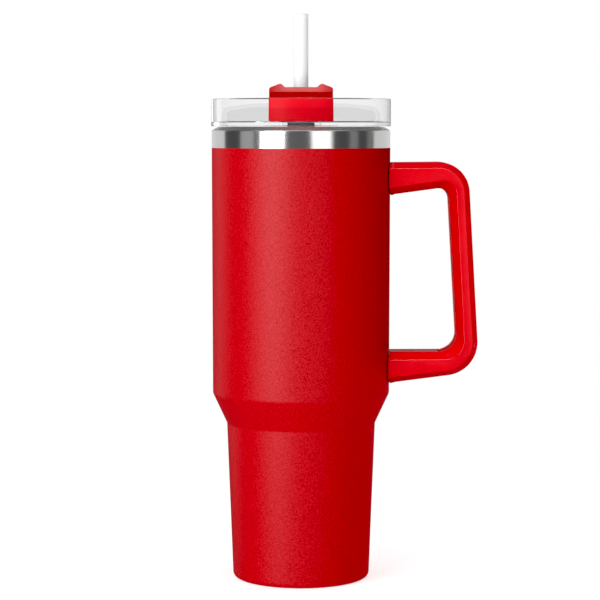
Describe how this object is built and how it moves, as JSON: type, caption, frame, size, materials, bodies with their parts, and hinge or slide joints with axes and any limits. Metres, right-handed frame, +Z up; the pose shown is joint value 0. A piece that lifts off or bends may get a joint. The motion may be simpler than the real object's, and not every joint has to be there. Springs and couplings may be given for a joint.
{
  "type": "insulated travel mug",
  "caption": "Tall vacuum-walled steel travel mug with a loop side handle, a stepped stem for a cup holder, a clear push-in lid with a sliding cover, and a straight straw.",
  "frame": {"origin": "centre of the base, on the surface the mug stands on", "axes": "+Z up along the cup's axis, +X towards the handle, -Y towards the sip opening"},
  "size_m": [0.1479, 0.0996, 0.3145],
  "materials": {
    "powder_coat": "fine powder coat, satin",
    "liner_steel": "brushed round the band",
    "base_steel": "satin",
    "plain_steel": "plain",
    "copper_foil": "bright foil",
    "getter_metal": "sintered",
    "solder_glass": "fused",
    "handle_plastic": "satin moulded",
    "grip_rubber": "soft matte",
    "clear_plastic": "clear, polished",
    "clear_silicone": "translucent silicone",
    "cover_plastic": "satin moulded",
    "straw_plastic": "frosted, translucent"
  },
  "bodies": {
    "cup": {"outer_shell": "powder_coat", "inner_liner": "liner_steel", "foil_shield": "copper_foil", "getter_pellet": "getter_metal", "getter_clip": "plain_steel", "vacuum_base": "plain_steel", "seal_bead": "solder_glass", "base_cap": "base_steel", "upper_bracket": "plain_steel", "lower_bracket": "plain_steel", "handle_shell": "handle_plastic", "handle_insert": "grip_rubber", "handle_screws": "plain_steel", "screw_plugs": "handle_plastic"},
    "lid": {"lid_body": "clear_plastic", "lid_gasket": "clear_silicone", "straw_grommet": "clear_silicone"},
    "cover": {"cover_carriage": "cover_plastic", "cover_grip": "cover_plastic", "cover_seal": "clear_silicone"},
    "straw": {"straw": "straw_plastic"}
  },
  "joints": [
    {"name": "lid_lift", "type": "slide", "parent": "cup", "child": "lid", "axis": [0, 0, 1], "range_m": [0, 0.27]},
    {"name": "cover_slide", "type": "slide", "parent": "lid", "child": "cover", "axis": [0, 1, 0], "range_m": [0, 0.014]},
    {"name": "straw_lift", "type": "slide", "parent": "lid", "child": "straw", "axis": [0, 0, 1], "range_m": [0, 0.265]}
  ]
}
